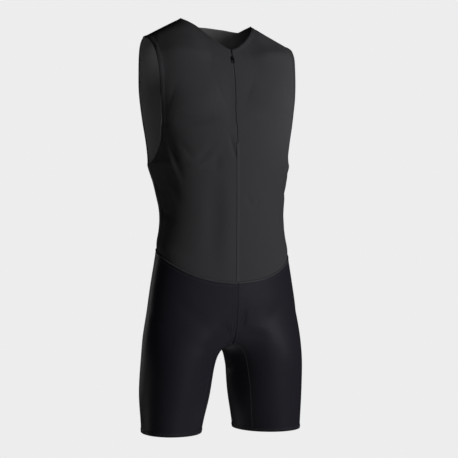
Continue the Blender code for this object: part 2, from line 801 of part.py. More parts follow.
def trunk_or_yoke_y(across, z):
    """The Y of the front's outer face near the centre, at a height."""
    if z <= YOKE_Z:
        point = trunk_point(across, z, True)
        return point.y + fold_depth(point)
    before = yoke_point(across, 0.0, True)
    for step in range(1, PATH_STEPS + 1):
        after = yoke_point(across, step / PATH_STEPS, True)
        if after.z >= z:
            share = (z - before.z) / (after.z - before.z)
            return before.lerp(after, share).y
        before = after
    return before.y


def slider_frame():
    """The place of the slider on the outer face, and the directions up along it and out from it."""
    low = SLIDER_Z - SLIDER_LENGTH / 2
    high = SLIDER_Z + SLIDER_LENGTH / 2
    rise = Vector((0.0, trunk_or_yoke_y(0.0, high) - trunk_or_yoke_y(0.0, low), SLIDER_LENGTH))
    rise.normalize()
    out = Vector((0.0, -rise.z, rise.y))
    return Vector((0.0, trunk_or_yoke_y(0.0, SLIDER_Z), SLIDER_Z)), rise, out


def add_prism(name, outline, axes, half_length, material):
    """A closed prism: an outline along the first two axes, drawn out both ways along the third."""
    first, second, third = axes
    flat = [first * a + second * b for a, b in outline]
    points = [point - third * half_length for point in flat]
    points += [point + third * half_length for point in flat]
    count = len(outline)
    faces = [tuple(range(count))[::-1], tuple(range(count, 2 * count))]
    for start in range(count):
        end = (start + 1) % count
        faces.append((start, end, end + count, start + count))
    prism = add_object(name, points, faces, material)
    working = bmesh.new()
    working.from_mesh(prism.data)
    bmesh.ops.recalc_face_normals(working, faces=working.faces)
    working.to_mesh(prism.data)
    working.free()
    return prism


def build_slider(material):
    """The slider: a chamfered plate over the slot, with two cheeks that hold the pull's barrel."""
    place, rise, out = slider_frame()
    across = Vector((1.0, 0.0, 0.0))
    low = SLIDER_LIFT
    top = low + SLIDER_THICK
    wide = SLIDER_HALF_WIDTH
    plate = [(wide, low), (wide, top - CHAMFER), (wide - CHAMFER, top),
             (CHAMFER - wide, top), (-wide, top - CHAMFER), (-wide, low)]
    slider = add_prism("zip_slider", plate, (across, out, rise), SLIDER_LENGTH / 2, material)
    slider.location = place
    for side in (-1, 1):
        inner = side * (wide - CHEEK_THICK)
        outer = side * (wide - CHAMFER / 2)
        cheek = [(inner, top - CHAMFER), (outer, top - CHAMFER),
                 (outer, top + CHEEK_HEIGHT), (inner, top + CHEEK_HEIGHT)]
        part = add_prism(f"cheek_{side}", cheek, (across, out, rise), BARREL_RADIUS, material)
        part.location = place
        join_solids(slider, part)
    return slider


def join_solids(body, part):
    """Join a part to a body with a Boolean, and remove the part."""
    joiner = body.modifiers.new("join", "BOOLEAN")
    joiner.operation = "UNION"
    joiner.solver = "EXACT"
    joiner.object = part
    bpy.context.view_layer.update()
    joined = bpy.data.meshes.new_from_object(
        body.evaluated_get(bpy.context.evaluated_depsgraph_get()))
    body.modifiers.clear()
    body.data = joined
    bpy.data.objects.remove(part)


def build_pull(material):
    """The pull: a barrel between the slider's cheeks and a flat tab that hangs from it."""
    place, rise, out = slider_frame()
    axis_out = SLIDER_LIFT + SLIDER_THICK + CLEAR + BARREL_RADIUS
    neck = math.asin(PULL_THICK / 2 / BARREL_RADIUS)
    start = neck - math.pi / 2
    sweep = 2 * (math.pi - neck)
    outline = []
    for step in range(BARREL_STEPS + 1):
        angle = start + sweep * step / BARREL_STEPS
        outline.append((BARREL_RADIUS * math.cos(angle), BARREL_RADIUS * math.sin(angle)))
    outline += [(-PULL_THICK / 2, -PULL_LENGTH), (PULL_THICK / 2, -PULL_LENGTH)]
    across = Vector((-1.0, 0.0, 0.0))
    half = SLIDER_HALF_WIDTH - CHEEK_THICK - CLEAR
    pull = add_prism("zip_pull", outline, (out, rise, across), half, material)
    pull.location = place + out * axis_out
    return pull


# ---------------------------------------------------------------- materials and assembly
def make_material(name, colour, roughness, metallic=0.0):
    material = bpy.data.materials.new(name)
    material.use_nodes = True
    shader = material.node_tree.nodes["Principled BSDF"]
    shader.inputs["Base Color"].default_value = (*colour, 1.0)
    shader.inputs["Roughness"].default_value = roughness
    shader.inputs["Metallic"].default_value = metallic
    return material


def main():
    for item in list(bpy.data.objects):
        bpy.data.objects.remove(item)
    build_front("front_right", -1, make_material("front_right_knit", CLOTH_BLACK, TOP_ROUGHNESS))
    build_front("front_left", 1, make_material("front_left_knit", CLOTH_BLACK, TOP_ROUGHNESS))
    build_back("back", make_material("back_knit", CLOTH_BLACK, TOP_ROUGHNESS))
    build_leg("leg_right", -1, make_material("leg_right_knit", SHORTS_BLACK, SHORTS_ROUGHNESS))
    build_leg("leg_left", 1, make_material("leg_left_knit", SHORTS_BLACK, SHORTS_ROUGHNESS))
    build_tape("zip_tape_right", -1, make_material("tape_right_weave", CLOTH_BLACK, TAPE_ROUGHNESS))
    build_tape("zip_tape_left", 1, make_material("tape_left_weave", CLOTH_BLACK, TAPE_ROUGHNESS))
    build_slider(make_material("slider_paint", METAL_BLACK, METAL_ROUGHNESS, METAL_SHARE))
    build_pull(make_material("pull_paint", METAL_BLACK, METAL_ROUGHNESS, METAL_SHARE))


main()
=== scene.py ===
"""The looks of a sleeveless athletics bodysuit: matt knit top, glossy knit shorts, sewn seams and hems,
a short front zip, and the studio that it is shown in.
Metres, +Z up, the front faces -Y, +X is the wearer's left.
"""
import math
from collections import namedtuple

import bmesh
import bpy
import numpy as np
from bpy.props import FloatProperty, FloatVectorProperty, IntProperty, PointerProperty
from mathutils import Matrix, Vector, kdtree
from mathutils.bvhtree import BVHTree


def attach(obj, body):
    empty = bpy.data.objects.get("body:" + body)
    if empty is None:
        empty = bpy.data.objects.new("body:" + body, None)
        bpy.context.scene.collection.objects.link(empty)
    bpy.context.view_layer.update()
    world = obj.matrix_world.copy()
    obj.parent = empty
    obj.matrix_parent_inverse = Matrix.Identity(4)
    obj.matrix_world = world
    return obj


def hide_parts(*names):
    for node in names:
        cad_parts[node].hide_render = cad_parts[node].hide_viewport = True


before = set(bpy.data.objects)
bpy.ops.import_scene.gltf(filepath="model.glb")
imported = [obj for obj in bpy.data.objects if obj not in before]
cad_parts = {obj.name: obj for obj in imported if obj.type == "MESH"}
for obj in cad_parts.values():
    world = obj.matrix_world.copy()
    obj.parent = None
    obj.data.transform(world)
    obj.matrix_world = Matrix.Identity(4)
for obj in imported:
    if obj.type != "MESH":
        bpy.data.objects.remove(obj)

bl_info = {
    "name": "Sleeveless athletics bodysuit",
    "version": (1, 0, 0),
    "blender": (4, 5, 0),
    "location": "3D View > Sidebar > Bodysuit",
    "description": "Dresses the cut pieces of a sleeveless athletics bodysuit",
    "category": "Object",
}

TOP_PANELS = ("front_right", "front_left", "back")
LEG_PANELS = ("leg_right", "leg_left")
OUTER, INNER, RIM = 0, 1, 2        # the material slots of a cloth panel
RIM_STEP = 0.0022                  # a rim's faces have an edge shorter than this
SEAM_GAP = 0.0025                  # cut edges nearer to each other than this are sewn together
ZIP_END_Z = -0.264
ARMPIT_Z = -0.307
SHOULDER_Z = -0.02
LEG_X = 0.104                      # from the middle of the suit to the middle of a leg

# Which panel carries the seam that it shares with its neighbour.
SEAM_OWNERS = {
    "centre_front": ("front_left",),
    "centre": ("leg_left",),
    "waist": ("leg_right", "leg_left"),
    "side": ("front_right", "front_left"),
    "shoulder": ("front_right", "front_left"),
}
CENTRE_ROWS = (-0.0095, -0.0040, 0.0040)     # the stitched rows beside the shorts' centre seam
WAIST_ROW = 0.0072                 # the stitched row below the waist seam
HEM_ROWS = (0.0030, 0.0004)        # how far a hem's stitched rows lie inside its width
STITCH_SHARE = 0.72                # how much of a stitch's length shows as thread

# The width of each raised seam, its height over the cloth and how deep it sinks in.
RIDGES = {
    "centre_front": (0.0064, 0.0004, 0.0006),
    "waist": (0.0024, 0.0010, 0.0006),
    "centre": (0.0012, 0.0001, 0.0008),
    "centre_row": (0.0013, 0.0004, 0.0003),
    "side": (0.0022, 0.0006, 0.0006),
    "shoulder": (0.0022, 0.0006, 0.0006),
    "inside_leg": (0.0022, 0.0006, 0.0008),
}

# The zip's teeth.
SLIDER_Z = -0.090                  # over this height the two rows of teeth stand apart
TOOTH_SIZE = (0.0009, 0.0006, 0.00035)
TOOTH_PITCH = 0.0008
TOOTH_ASIDE = 0.00025
TOOTH_DEPTH = 0.0011               # from the cloth's outer face to the middle of a tooth

# A knit's looks: its ribs (wales) and rows (courses) are counted for each metre.
Knit = namedtuple("Knit", "roughness wales courses bump specular mottle")
KNITS = {
    "top": Knit(0.85, 1150.0, 1300.0, 0.35, 0.1, 0.06),
    "shorts": Knit(0.42, 1600.0, 1800.0, 0.12, 0.088, 0.04),
    "inside": Knit(0.9, 1150.0, 1300.0, 0.3, 0.2, 0.05),
}

# The soft lights: degrees round from the camera, degrees up and watts.
LIGHTS = {
    "key": (59.0, 15.0, 37.0),
    "low": (42.0, -30.0, 4.5),
    "front": (16.0, 0.0, 3.2),
    "edge": (-98.0, -30.0, 5.0),
    "rim": (-130.0, 0.0, 3.5),
    "behind": (180.0, 12.0, 18.0),
}
LIGHT_DISTANCE = 2.4
LIGHT_SIZE = (0.8, 1.2)
LIGHT_AIM = Vector((0.0, 0.0, -0.45))

# The narrow lights through an opening: place, aim, width of the cone in degrees and watts.
SPOTS = {
    "through_armholes": ((1.30, -0.16, -0.15), (-0.15, 0.05, -0.17), 17.0, 17.0),
    "into_neck": ((-0.25, -1.30, 0.75), (0.055, 0.085, -0.03), 5.0, 12.0),
}

# The camera, from the wearer's right.
CAMERA_TURN = -23.0
CAMERA_DISTANCE = 2.2
CAMERA_Z = -0.456
FLOOR_Z = -1.45

MADE = {}                          # what one operator leaves for the next: panels and their cut edges


# ---------------------------------------------------------------- sizes and colours
def length(name, description, default):
    return FloatProperty(name=name, description=description, default=default, unit="LENGTH")


def colour(name, description, default):
    return FloatVectorProperty(name=name, description=description, default=default, subtype="COLOR")


class ClothSizes(bpy.types.PropertyGroup):
    levels: IntProperty(name="Subdivisions", description="How finely the panels are divided",
                        default=3, min=1, max=4)
    hem_width: length("Hem width", "Depth of the turned hems", 0.0075)
    hem_rise: length("Hem rise", "How far a doubled hem stands out", 0.0008)


class SewingSizes(bpy.types.PropertyGroup):
    stitch_length: length("Stitch length", "From one stitch to the next", 0.0027)
    thread_radius: length("Thread radius", "Half the thickness of the thread", 0.00032)


class Colours(bpy.types.PropertyGroup):
    top: colour("Top knit", "Matt charcoal knit", (0.046, 0.046, 0.0495))
    shorts: colour("Shorts knit", "Glossy blue-black knit", (0.0180, 0.0169, 0.0230))
    # The inside is the same knit as the top. It is given a lighter colour as painted light on the inside of
    # the back, which shows through the neck and the armholes.
    inside: colour("Inside of the top", "Inner face of the knit, lighter as painted light", (0.104, 0.104, 0.1075))
    seam: colour("Shorts seams", "Raised seams of the shorts", (0.024, 0.023, 0.028))
    binding: colour("Waist seam", "Raised thread of the waist seam", (0.055, 0.053, 0.060))
    thread: colour("Thread", "Sewing thread", (0.062, 0.062, 0.068))
    metal: colour("Zip metal", "Blackened metal", (0.03, 0.03, 0.032))


# ---------------------------------------------------------------- creases
# A soft trough (depth > 0) or ridge (depth < 0) that runs from start over bend to end.
Crease = namedtuple("Crease", "start bend end width depth")


def in_metres(row):
    return Crease(*(np.array(value) / 1000 for value in row))


# Each row is in millimetres.
CREASES = [in_metres(row) for row in (
    # shoulders: the edge where the chest turns over, and the flatter cloth above it
    ((-150, -38, -80), (-110, -62, -74), (-45, -70, -86), 14, -5.5),
    ((-145, -18, -50), (-110, -40, -40), (-60, -48, -36), 16, 3),
    ((151, -38, -74), (105, -60, -70), (42, -68, -80), 14, -5.5),
    ((146, -18, -48), (110, -40, -38), (64, -46, -34), 16, 3),
    # chest: the breast and the hollow under it
    ((-130, -58, -170), (-85, -84, -190), (-30, -90, -165), 30, -6),
    ((130, -58, -165), (88, -82, -184), (30, -90, -160), 30, -4.8),
    ((-150, -42, -214), (-108, -78, -230), (-45, -91, -214), 9, 4.2),
    ((141, -54, -192), (95, -80, -212), (45, -90, -204), 10, 2.4),
    ((-150, -30, -55), (-157, -48, -100), (-154, -54, -142), 10, -3),
    ((-152, -48, -160), (-152, -42, -215), (-149, -35, -275), 20, 4.5),
    ((-12, -92, -110), (-8, -94, -170), (-12, -96, -235), 14, 1),
    # the wearer's right ribs
    ((-144, -45, -235), (-142, -43, -325), (-134, -44, -450), 28, 5.5),
    ((-137, -50, -252), (-129, -54, -285), (-112, -67, -336), 7.5, 2.8),
    ((-140, -45, -264), (-127, -55, -318), (-112, -66, -365), 7, -1.4),
    ((-146, -38, -281), (-136, -46, -334), (-116, -61, -390), 8, 3),
    ((-147, -28, -342), (-138, -37, -394), (-125, -50, -442), 9, 2.2),
    ((-152, 20, -345), (-148, -5, -360), (-135, -35, -368), 7, 1.4),
    ((-150, 12, -392), (-140, -16, -410), (-126, -45, -418), 8, 1.8),
    # midriff
    ((-116, -66, -262), (-104, -73, -286), (-87, -82, -305), 7.5, 1.2),
    ((-87, -82, -305), (-67, -87, -297), (-47, -92, -260), 7.5, 1.1),
    ((-102, -74, -312), (-84, -84, -318), (-60, -88, -305), 6, -1.4),
    ((-16, -96, -250), (-11, -97, -276), (-3, -99, -302), 4.5, 1.8),
    ((-40, -94, -290), (-47, -93, -306), (-44, -94, -328), 10, 1.4),
    ((-46, -93, -325), (-56, -91, -410), (-54, -91, -540), 20, 2.4),
    ((-20, -98, -330), (-25, -97, -420), (-22, -96, -540), 17, -1.4),
    ((18, -98, -373), (29, -97, -388), (35, -96, -400), 5.5, 1.6),
    ((33, -96, -400), (45, -94, -393), (53, -92, -379), 5.5, 1.4),
    ((60, -91, -500), (20, -96, -522), (-35, -95, -520), 7, -0.8),
    # the wearer's left ribs and waist
    ((150, -20, -295), (138, -46, -273), (115, -69, -258), 9, 1.4),
    ((135, -50, -300), (144, -36, -320), (148, -18, -331), 8, 1.8),
    ((120, -65, -345), (136, -44, -363), (143, -22, -372), 9, 2),
    ((149, 16, -386), (142, -12, -405), (128, -40, -414), 8, 1.8),
    ((146, 20, -432), (140, -10, -446), (124, -36, -448), 7, 1.2),
    ((110, -69, -484), (122, -62, -493), (133, -53, -495), 4.5, 1.2),
    ((106, -71, -503), (119, -65, -508), (132, -55, -506), 4, -1.2),
    # back
    ((0, 105, -150), (1, 104, -320), (-1, 92, -465), 18, 3.4),
    ((-75, 98, -115), (-92, 98, -170), (-76, 100, -228), 30, -3.6),
    ((79, 97, -122), (94, 97, -180), (73, 100, -236), 30, -3.2),
    ((-136, 55, -292), (-106, 76, -346), (-56, 91, -370), 9.5, 2.8),
    ((-142, 34, -336), (-116, 60, -390), (-72, 81, -414), 9, 2.2),
    ((132, 58, -286), (100, 79, -330), (46, 94, -350), 10, 2.6),
    ((142, 38, -328), (112, 62, -374), (64, 83, -398), 9.5, 2.4),
    ((138, 28, -380), (112, 52, -424), (82, 71, -436), 8, 1.6),
    ((-92, 72, -424), (-40, 89, -439), (8, 89, -430), 6.5, 2),
    ((-4, 89, -447), (46, 85, -458), (88, 73, -446), 6.5, 1.8),
    ((-74, 79, -454), (-30, 90, -463), (14, 90, -460), 5.5, -1.2),
    ((-125, 55, -46), (-74, 78, -66), (-26, 80, -58), 13, 1.8),
    ((124, 55, -52), (80, 78, -74), (40, 82, -70), 12, 1.6),
    # front of the shorts, round the crotch
    ((19, -94, -610), (18, -92, -632), (12, -89, -652), 4.2, 2.2),
    ((22, -91, -646), (42, -92, -648), (68, -92, -654), 9, -0.6),
    ((22, -86, -664), (44, -89, -664), (72, -90, -669), 8, 1),
    ((32, -80, -686), (60, -88, -682), (100, -90, -690), 9, -0.6),
    ((-36, -88, -638), (-22, -90, -650), (-13, -86, -666), 8, 2.2),
    ((-98, -90, -662), (-68, -92, -675), (-38, -83, -674), 11, -0.5),
    ((-94, -88, -684), (-70, -88, -692), (-46, -80, -690), 9, 0.5),
    ((-124, -74, -585), (-92, -86, -625), (-52, -88, -656), 13, 0.6),
    ((126, -72, -580), (98, -85, -618), (66, -90, -640), 13, 0.5),
    ((62, -84, -736), (100, -88, -739), (142, -68, -734), 3, -0.6),
    ((-168, -12, -600), (-161, -35, -626), (-136, -64, -646), 10, 0.6),
    ((169, -8, -596), (161, -32, -620), (139, -61, -638), 10, 0.6),
    # seat and the backs of the thighs
    ((0, 95, -545), (0, 100, -610), (0, 90, -664), 12, 3.4),
    ((-74, 90, -565), (-86, 92, -608), (-74, 88, -648), 34, -4.2),
    ((76, 90, -570), (88, 92, -612), (76, 88, -652), 34, -3.8),
    ((-122, 54, -688), (-85, 76, -702), (-36, 72, -694), 8.5, 3),
    ((120, 57, -694), (82, 77, -705), (36, 72, -697), 9, 2.6),
    ((-112, 60, -714), (-86, 68, -722), (-54, 66, -715), 6.5, 1.4),
    ((114, 59, -723), (90, 68, -730), (62, 66, -722), 6.5, 1.2),
    ((-136, 40, -792), (-114, 58, -803), (-84, 50, -796), 7, 1.2),
    ((86, 50, -800), (112, 58, -809), (136, 40, -800), 7, 1),
    ((-46, -20, -742), (-36, 6, -748), (-46, 32, -740), 7, 1.4),
    ((46, -22, -736), (36, 6, -744), (46, 30, -738), 7, 1.2),
)]


# ---------------------------------------------------------------- panels
def walls_of(bm):
    """Flags the rim faces of a panel that is one closed solid, marks the rest as outer, and gathers them
    into walls: the outer one and the inner one.
    """
    for face in bm.faces:
        shortest = min(edge.calc_length() for edge in face.edges)
        face.material_index = RIM if shortest < RIM_STEP else OUTER
    for face in bm.faces:
        face.tag = face.material_index == RIM
    walls = []
    for face in bm.faces:
        if face.tag:
            continue
        face.tag = True
        wall, waiting = [], [face]
        while waiting:
            current = waiting.pop()
            wall.append(current)
            for edge in current.edges:
                for other in edge.link_faces:
                    if not other.tag:
                        other.tag = True
                        waiting.append(other)
        walls.append(wall)
    return walls


def facing_out(face, leg_centre):
    """How much a face looks away from the middle of the trunk, or of its leg."""
    centre = face.calc_center_median()
    axis = leg_centre if centre.z < -0.72 else Vector((0.0, 0.0, 0.0))
    away = Vector((centre.x - axis.x, centre.y - axis.y, max(centre.z + 0.1, 0.0)))
    return face.normal.dot(away) * face.calc_area()


def make_panel(name, levels):
    """A fine cloth shell on the form of one CAD panel."""
    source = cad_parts[name].data
    bm = bmesh.new()
    bm.from_mesh(source)
    bmesh.ops.remove_doubles(bm, verts=bm.verts, dist=1e-6)
    bmesh.ops.join_triangles(bm, faces=bm.faces, angle_face_threshold=3.0, angle_shape_threshold=3.14,
                             topology_influence=2.0 if name == "back" else 1.0)
    bm.normal_update()
    leg_centre = Vector((math.copysign(LEG_X, sum(v.co.x for v in bm.verts)), 0.0, 0.0))
    walls = walls_of(bm)
    walls.sort(key=lambda wall: -sum(facing_out(face, leg_centre) for face in wall))
    for face in walls[-1]:
        face.material_index = INNER
    crease = bm.edges.layers.float.new("crease_edge")
    for edge in bm.edges:
        kinds = {face.material_index for face in edge.link_faces}
        if kinds in ({OUTER, RIM}, {INNER, RIM}):
            edge[crease] = 1.0
        elif kinds == {RIM} and edge.calc_face_angle(0.0) > 0.7:
            edge[crease] = 1.0
    coarse = bpy.data.meshes.new(name + "_coarse")
    bm.to_mesh(coarse)
    bm.free()
    obj = bpy.data.objects.new("cloth_" + name, coarse)
    bpy.context.scene.collection.objects.link(obj)
    finer = obj.modifiers.new("finer", "SUBSURF")
    finer.levels = finer.render_levels = levels
    finer.boundary_smooth = "PRESERVE_CORNERS"
    depsgraph = bpy.context.evaluated_depsgraph_get()
    fine = bpy.data.meshes.new_from_object(obj.evaluated_get(depsgraph))
    obj.modifiers.clear()
    obj.data = fine
    fine.name = "cloth_" + name
    bpy.data.meshes.remove(coarse)
    return obj


def read_all(items, name, width=1, kind=float):
    """One attribute of all the items, as an array."""
    values = np.empty(len(items) * width, dtype=kind)
    items.foreach_get(name, values)
    return values.reshape(-1, width) if width > 1 else values


def places_of(mesh):
    return read_all(mesh.vertices, "co", 3)


def wall_normals(mesh):
    """Each point's outward direction, the same for both walls, as an array."""
    kinds = read_all(mesh.polygons, "material_index", 1, np.int32)
    normals = read_all(mesh.polygons, "normal", 3)
    areas = read_all(mesh.polygons, "area")
    weights = areas * np.where(kinds == OUTER, 1.0, np.where(kinds == INNER, -1.0, 0.0))
    pushes = normals * weights[:, None]
    corners = read_all(mesh.loops, "vertex_index", 1, np.int32)
    totals = read_all(mesh.polygons, "loop_total", 1, np.int32)
    owners = np.repeat(np.arange(len(totals)), totals)
    out = np.zeros((len(mesh.vertices), 3))
    np.add.at(out, corners, pushes[owners])
    length = np.linalg.norm(out, axis=1)
    return out / np.maximum(length, 1e-12)[:, None]


def crease_depths(places, normals, creases):
    """How deep all the creases together push each place in. Distances count along the cloth only."""
    depths = np.zeros(len(places))
    for crease in creases:
        start, bend, end, width, depth = crease
        reach = width * 3 + 0.004
        low = np.minimum(np.minimum(start, bend), end) - reach
        high = np.maximum(np.maximum(start, bend), end) + reach
        near = np.flatnonzero(np.all((places > low) & (places < high), axis=1))
        if not len(near):
            continue
        steps = 12
        shares = np.linspace(0.0, 1.0, steps + 1)[:, None]
        line = (1 - shares) ** 2 * start + 2 * shares * (1 - shares) * bend + shares ** 2 * end
        best = np.full(len(near), 1e9)
        along = np.zeros(len(near))
        spots, out = places[near], normals[near]
        for step in range(steps):
            first, leg = line[step], line[step + 1] - line[step]
            share = np.clip(((spots - first) @ leg) / (leg @ leg), 0.0, 1.0)
            gap = spots - first - share[:, None] * leg
            gap = np.linalg.norm(gap - out * np.sum(gap * out, axis=1)[:, None], axis=1)
            closer = gap < best
            best = np.where(closer, gap, best)
            along = np.where(closer, (step + share) / steps, along)
        taper = np.sin(np.pi * np.clip(along, 0.02, 0.98)) ** 0.7
        depths[near] += depth * taper * np.exp(-(best / width) ** 2)
    return depths


def smooth_step(value):
    value = np.clip(value, 0.0, 1.0)
    return value * value * (3 - 2 * value)


# ---------------------------------------------------------------- cut edges
# One point on a panel's cut edge, on its outer face.
Edge = namedtuple("Edge", "place normal inward label")


def outer_loops(obj):
    """The closed rings of outer edge points of a panel, in order."""
    bm = bmesh.new()
    bm.from_mesh(obj.data)
    border = [edge for edge in bm.edges
              if {face.material_index for face in edge.link_faces} == {OUTER, RIM}]
    nexts = {}
    for edge in border:
        for vert in edge.verts:
            nexts.setdefault(vert, []).append(edge.other_vert(vert))
    rings = []
    while nexts:
        start = next(iter(nexts))
        ring, current = [], start
        while current is not None:
            ring.append(current)
            beside = [v for v in nexts.pop(current) if v in nexts]
            current = beside[0] if beside else None
        rings.append([station(vert) for vert in ring])
    bm.free()
    return rings


def station(vert):
    """A point of a cut edge: its outward normal, and the way along the cloth into the panel."""
    faces = [face for face in vert.link_faces if face.material_index == OUTER]
    normal = sum((face.normal * face.calc_area() for face in faces), Vector()).normalized()
    centre = sum((face.calc_center_median() for face in faces), Vector()) / len(faces)
    inward = centre - vert.co
    inward -= normal * inward.dot(normal)
    return Edge(vert.co.copy(), normal, inward.normalized(), "")


def label_of(name, edge, trees):
    """What a cut edge is sewn to, or which opening it borders."""
    place = edge.place
    if name.startswith("front") and abs(place.x) < 0.004 and ZIP_END_Z < place.z < -0.03:
        return "zip"
    near = None
    for other, tree in trees.items():
        if other != name and tree.find(place)[2] < SEAM_GAP:
            near = other
            break
    if near is None:
        if place.z < -0.80:
            return "hem"
        return "armhole" if abs(place.x) > 0.12 and place.z < SHOULDER_Z else "neck"
    if name in LEG_PANELS and near in LEG_PANELS:
        return "centre"
    if name in LEG_PANELS or near in LEG_PANELS:
        return "waist"
    if name.startswith("front") and near.startswith("front"):
        return "centre_front"
    return "side" if place.z < ARMPIT_Z + 0.02 else "shoulder"


def cut_runs(panels):
    """Every stretch of cut edge: (panel, label, points, closed)."""
    rings = {name: outer_loops(obj) for name, obj in panels.items()}
    trees = {}
    for name, loops in rings.items():
        points = [edge.place for ring in loops for edge in ring]
        tree = kdtree.KDTree(len(points))
        for index, place in enumerate(points):
            tree.insert(place, index)
        tree.balance()
        trees[name] = tree
    runs = []
    for name, loops in rings.items():
        for ring in loops:
            ring = [edge._replace(label=label_of(name, edge, trees)) for edge in ring]
            turns = [i for i in range(len(ring)) if ring[i].label != ring[i - 1].label]
            if not turns:
                runs.append((name, ring[0].label, ring, True))
                continue
            for first, second in zip(turns, turns[1:] + [turns[0] + len(ring)]):
                run = [ring[i % len(ring)] for i in range(first, second)]
                if len(run) > 6:
                    runs.append((name, run[0].label, run, False))
    return runs


# ---------------------------------------------------------------- lines on the cloth
# A point of a line that lies on the cloth.
Stop = namedtuple("Stop", "place normal along side")


def line_from(edges, offset=0.0, tree=None, closed=False):
    """A line at a distance in from a cut edge, laid on the cloth's outer face."""
    places = [edge.place + edge.inward * offset for edge in edges]
    normals = [edge.normal for edge in edges]
    for _ in range(3):
        places = softened(places, closed)
        normals = [n.normalized() for n in softened(normals, closed)]
    if tree is not None:
        for index, place in enumerate(places):
            found = tree.find_nearest(place, 0.01)
            if found[0] is not None and found[1].dot(normals[index]) > 0.5:
                places[index] = found[0]
    return stops_on(places, normals, closed)


def softened(values, closed):
    """Each value drawn towards its two neighbours."""
    count = len(values)
    result = []
    for index, value in enumerate(values):
        if not closed and index in (0, count - 1):
            result.append(value.copy())
            continue
        result.append(values[index - 1] * 0.25 + value * 0.5 + values[(index + 1) % count] * 0.25)
    return result


def stops_on(places, normals, closed):
    """The stops of a line through these places."""
    stops = []
    count = len(places)
    for index, place in enumerate(places):
        before = places[index - 1] if closed or index else places[0]
        after = places[(index + 1) % count] if closed or index < count - 1 else places[-1]
        along = (after - before).normalized()
        side = normals[index].cross(along).normalized()
        normal = along.cross(side)
        stops.append(Stop(place, normal, along, side))
    return stops


def even_stops(stops, spacing, closed=False):
    """The same line with its stops one spacing apart."""
    places = [stop.place for stop in stops] + ([stops[0].place] if closed else [])
    lengths = [0.0]
    for first, second in zip(places, places[1:]):
        lengths.append(lengths[-1] + (second - first).length)
    count = max(2, round(lengths[-1] / spacing))
    result = []
    index = 0
    for step in range(count if closed else count + 1):
        target = lengths[-1] * step / count
        while index < len(lengths) - 2 and lengths[index + 1] < target:
            index += 1
        share = (target - lengths[index]) / max(lengths[index + 1] - lengths[index], 1e-9)
        first, second = stops[index % len(stops)], stops[(index + 1) % len(stops)]
        place = first.place.lerp(second.place, share)
        normal = first.normal.lerp(second.normal, share).normalized()
        along = first.along.lerp(second.along, share)
        along = (along - normal * along.dot(normal)).normalized()
        result.append(Stop(place, normal, along, normal.cross(along)))
    return result


def sweep(bm, profile, stops, closed=False):
    """Extrudes a ring of (aside, out) points along a line on the cloth."""
    def spot(stop, aside, out):
        return stop.place + stop.side * aside + stop.normal * out

    ring = [bm.verts.new(spot(stops[0], *point)) for point in profile]
    count = len(ring)
    edges = [bm.edges.new((ring[i], ring[(i + 1) % count])) for i in range(count)]
    first_edges = edges
    for stop in stops[1:]:
        made = bmesh.ops.extrude_edge_only(bm, edges=edges)["geom"]
        fresh = {item for item in made if isinstance(item, bmesh.types.BMVert)}
        ring = [next(e.other_vert(v) for e in v.link_edges if e.other_vert(v) in fresh) for v in ring]
        for vert, point in zip(ring, profile):
            vert.co = spot(stop, *point)
        edges = [bm.edges.get((ring[i], ring[(i + 1) % count])) for i in range(count)]
    if closed:
        bmesh.ops.bridge_loops(bm, edges=first_edges + edges)
    else:
        bmesh.ops.holes_fill(bm, edges=first_edges, sides=0)
        bmesh.ops.holes_fill(bm, edges=edges, sides=0)


def new_piece(name, bm, material, smooth=True, recalculate=True):
    """A new object with one material, made of this shape."""
    if recalculate:
        bmesh.ops.recalc_face_normals(bm, faces=bm.faces)
    mesh = bpy.data.meshes.new(name)
    bm.to_mesh(mesh)
    bm.free()
    for polygon in mesh.polygons:
        polygon.use_smooth = smooth
    mesh.materials.append(material)
    obj = bpy.data.objects.new(name, mesh)
    bpy.context.scene.collection.objects.link(obj)
    return obj


def ridge_profile(width, height, sink):
    """A low dome, as over a seam allowance, sunk a little into the cloth."""
    half = width / 2
    dome = [(half, 0.0), (half * 0.7, height * 0.62), (half * 0.3, height * 0.95),
            (-half * 0.3, height * 0.95), (-half * 0.7, height * 0.62), (-half, 0.0)]
    return dome + [(-half * 0.8, -sink), (half * 0.8, -sink)]


def add_stitches(bm, stops, sizes, lift, closed=False):
    """A row of stitches, each a small bead of thread half sunk in the cloth."""
    radius = sizes.thread_radius
    for stop in even_stops(stops, sizes.stitch_length, closed):
        frame_of = Matrix((stop.along, stop.side, stop.normal)).transposed().to_4x4()
        size = Matrix.Diagonal((sizes.stitch_length * STITCH_SHARE / 2, radius, radius, 1.0))
        place = Matrix.Translation(stop.place + stop.normal * lift)
        bmesh.ops.create_icosphere(bm, subdivisions=1, radius=1.0, matrix=place @ frame_of @ size)


# ---------------------------------------------------------------- materials
def new_material(name):
    material = bpy.data.materials.new(name)
    material.use_nodes = True
    nodes, links = material.node_tree.nodes, material.node_tree.links
    nodes.clear()
    shader = nodes.new("ShaderNodeBsdfPrincipled")
    output = nodes.new("ShaderNodeOutputMaterial")
    links.new(shader.outputs["BSDF"], output.inputs["Surface"])
    return material, nodes, links, shader


